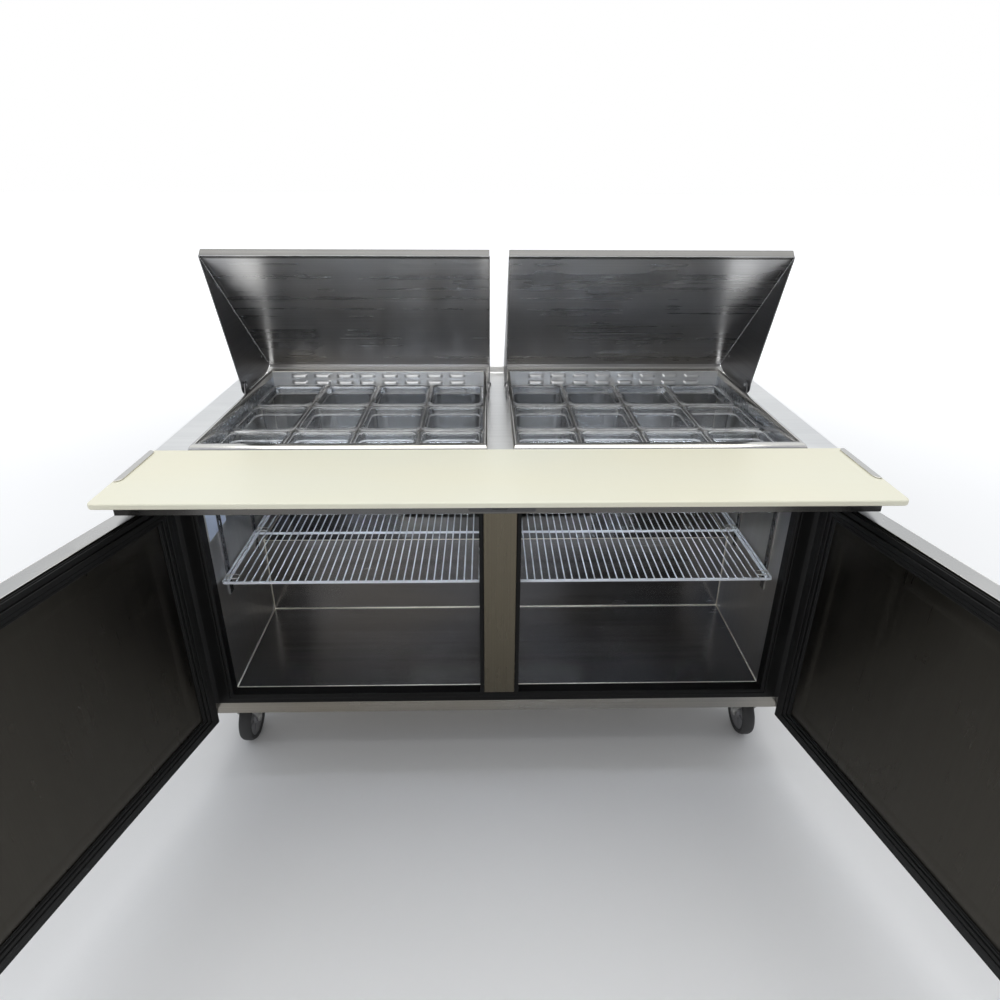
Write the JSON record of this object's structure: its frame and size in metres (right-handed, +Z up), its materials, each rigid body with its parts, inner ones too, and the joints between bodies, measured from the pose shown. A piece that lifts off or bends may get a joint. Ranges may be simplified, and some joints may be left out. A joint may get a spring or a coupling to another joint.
{
  "type": "sandwich prep table",
  "caption": "Refrigerated stainless prep table with two hinged hoods over wells of clear pans, a full-length cutting board, two doors, wire shelves and casters.",
  "frame": {"origin": "on the floor under the centre of the cabinet body", "axes": "+X to the right of a person who stands in front, +Y towards the back panel, +Z up"},
  "size_m": [1.9081, 1.4381, 1.3073],
  "materials": {
    "stainless": "satin",
    "stainless_bright": "satin",
    "stainless_inner": "satin",
    "board_plastic": "satin",
    "clear_plastic": "gloss",
    "black_plastic": "satin",
    "gasket_rubber": "matte",
    "white_epoxy": "gloss",
    "foam": "matte",
    "fin_aluminium": "satin",
    "copper": "satin",
    "black_paint": "satin",
    "zinc": "satin",
    "badge": "gloss",
    "caster_tread": "matte",
    "control_plastic": "satin"
  },
  "bodies": {
    "table": {"worktop": "stainless_bright", "front_rail": "stainless", "badge_plate": "badge", "board_brackets": "stainless", "well_frames": "stainless_bright", "well_liners": "stainless_bright", "pan_dividers": "stainless_bright", "side_panels": "stainless", "back_panel": "zinc", "rear_grille": "zinc", "base_pan": "stainless", "insulation": "foam", "liner_floor": "stainless_inner", "liner_walls": "stainless_inner", "liner_rear": "stainless_inner", "liner_ceiling": "stainless_inner", "breaker_frame": "black_plastic", "mullion": "stainless", "shelf_standards": "zinc", "evaporator_coil": "fin_aluminium", "evaporator_case": "fin_aluminium", "compressor": "black_paint", "condenser_coil": "black_paint", "refrigerant_lines": "copper", "machine_tray": "zinc", "control_box": "control_plastic", "power_inlet": "black_plastic", "door_hinges": "zinc", "hood_brackets": "stainless", "caster_plates": "zinc"},
    "cutting_board": {"cutting_board": "board_plastic"},
    "pans_left_front": {"pans_left_front": "clear_plastic"},
    "pans_left_middle": {"pans_left_middle": "clear_plastic"},
    "pans_left_rear": {"pans_left_rear": "clear_plastic"},
    "pans_right_front": {"pans_right_front": "clear_plastic"},
    "pans_right_middle": {"pans_right_middle": "clear_plastic"},
    "pans_right_rear": {"pans_right_rear": "clear_plastic"},
    "hood_left": {"hood_left_panel": "stainless", "hood_left_wings": "stainless"},
    "hood_right": {"hood_right_panel": "stainless", "hood_right_wings": "stainless"},
    "door_left": {"door_left_shell": "stainless", "door_left_liner": "stainless_inner", "door_left_gasket": "gasket_rubber"},
    "door_right": {"door_right_shell": "stainless", "door_right_liner": "stainless_inner", "door_right_gasket": "gasket_rubber"},
    "shelf_left": {"shelf_left": "white_epoxy"},
    "shelf_right": {"shelf_right": "white_epoxy"},
    "fork_front_left": {"fork_front_left": "zinc"},
    "wheel_front_left": {"wheel_front_left": "caster_tread"},
    "fork_front_right": {"fork_front_right": "zinc"},
    "wheel_front_right": {"wheel_front_right": "caster_tread"},
    "fork_rear_left": {"fork_rear_left": "zinc"},
    "wheel_rear_left": {"wheel_rear_left": "caster_tread"},
    "fork_rear_right": {"fork_rear_right": "zinc"},
    "wheel_rear_right": {"wheel_rear_right": "caster_tread"},
    "evaporator_fan": {"evaporator_fan": "black_plastic"},
    "condenser_fan": {"condenser_fan": "black_paint"}
  },
  "joints": [
    {"name": "board_slide", "type": "slide", "parent": "table", "child": "cutting_board", "axis": [0, 1, 0], "range_m": [-0.18, 0]},
    {"name": "pans_left_front_lift", "type": "slide", "parent": "table", "child": "pans_left_front", "axis": [0, 0, -1], "range_m": [-0.16, 0]},
    {"name": "pans_left_middle_lift", "type": "slide", "parent": "table", "child": "pans_left_middle", "axis": [0, 0, -1], "range_m": [-0.16, 0]},
    {"name": "pans_left_rear_lift", "type": "slide", "parent": "table", "child": "pans_left_rear", "axis": [0, 0, -1], "range_m": [-0.08, 0]},
    {"name": "pans_right_front_lift", "type": "slide", "parent": "table", "child": "pans_right_front", "axis": [0, 0, -1], "range_m": [-0.16, 0]},
    {"name": "pans_right_middle_lift", "type": "slide", "parent": "table", "child": "pans_right_middle", "axis": [0, 0, -1], "range_m": [-0.16, 0]},
    {"name": "pans_right_rear_lift", "type": "slide", "parent": "table", "child": "pans_right_rear", "axis": [0, 0, -1], "range_m": [-0.08, 0]},
    {"name": "hood_left_hinge", "type": "hinge", "parent": "table", "child": "hood_left", "pos_m": [-0.3557, 0.1655, 0.932], "axis": [1, 0, 0], "range_deg": [0, 69]},
    {"name": "hood_right_hinge", "type": "hinge", "parent": "table", "child": "hood_right", "pos_m": [0.3557, 0.1655, 0.932], "axis": [1, 0, 0], "range_deg": [0, 69]},
    {"name": "door_left_hinge", "type": "hinge", "parent": "table", "child": "door_left", "pos_m": [-0.748, -0.2805, 0.5], "axis": [0, 0, 1], "range_deg": [-6, 107]},
    {"name": "door_right_hinge", "type": "hinge", "parent": "table", "child": "door_right", "pos_m": [0.748, -0.2805, 0.5], "axis": [0, 0, -1], "range_deg": [-6, 104]},
    {"name": "shelf_left_lift", "type": "slide", "parent": "table", "child": "shelf_left", "axis": [0, 0, -1], "range_m": [-0.12, 0]},
    {"name": "shelf_right_lift", "type": "slide", "parent": "table", "child": "shelf_right", "axis": [0, 0, -1], "range_m": [-0.12, 0]},
    {"name": "swivel_front_left", "type": "hinge", "parent": "table", "child": "fork_front_left", "pos_m": [-0.69, -0.18, 0.15], "axis": [0, 0, 1], "continuous": true},
    {"name": "roll_front_left", "type": "hinge", "parent": "fork_front_left", "child": "wheel_front_left", "pos_m": [-0.69, -0.142, 0.0625], "axis": [1, 0, 0], "continuous": true},
    {"name": "swivel_front_right", "type": "hinge", "parent": "table", "child": "fork_front_right", "pos_m": [0.69, -0.18, 0.15], "axis": [0, 0, 1], "continuous": true},
    {"name": "roll_front_right", "type": "hinge", "parent": "fork_front_right", "child": "wheel_front_right", "pos_m": [0.69, -0.142, 0.0625], "axis": [1, 0, 0], "continuous": true},
    {"name": "swivel_rear_left", "type": "hinge", "parent": "table", "child": "fork_rear_left", "pos_m": [-0.69, 0.325, 0.15], "axis": [0, 0, 1], "continuous": true},
    {"name": "roll_rear_left", "type": "hinge", "parent": "fork_rear_left", "child": "wheel_rear_left", "pos_m": [-0.69, 0.363, 0.0625], "axis": [1, 0, 0], "continuous": true},
    {"name": "swivel_rear_right", "type": "hinge", "parent": "table", "child": "fork_rear_right", "pos_m": [0.69, 0.325, 0.15], "axis": [0, 0, 1], "continuous": true},
    {"name": "roll_rear_right", "type": "hinge", "parent": "fork_rear_right", "child": "wheel_rear_right", "pos_m": [0.69, 0.363, 0.0625], "axis": [1, 0, 0], "continuous": true},
    {"name": "evaporator_fan_spin", "type": "hinge", "parent": "table", "child": "evaporator_fan", "pos_m": [0, 0.288, 0.59], "axis": [0, 1, 0], "continuous": true},
    {"name": "condenser_fan_spin", "type": "hinge", "parent": "table", "child": "condenser_fan", "pos_m": [0.145, 0.28, 0.2785], "axis": [1, 0, 0], "continuous": true}
  ]
}
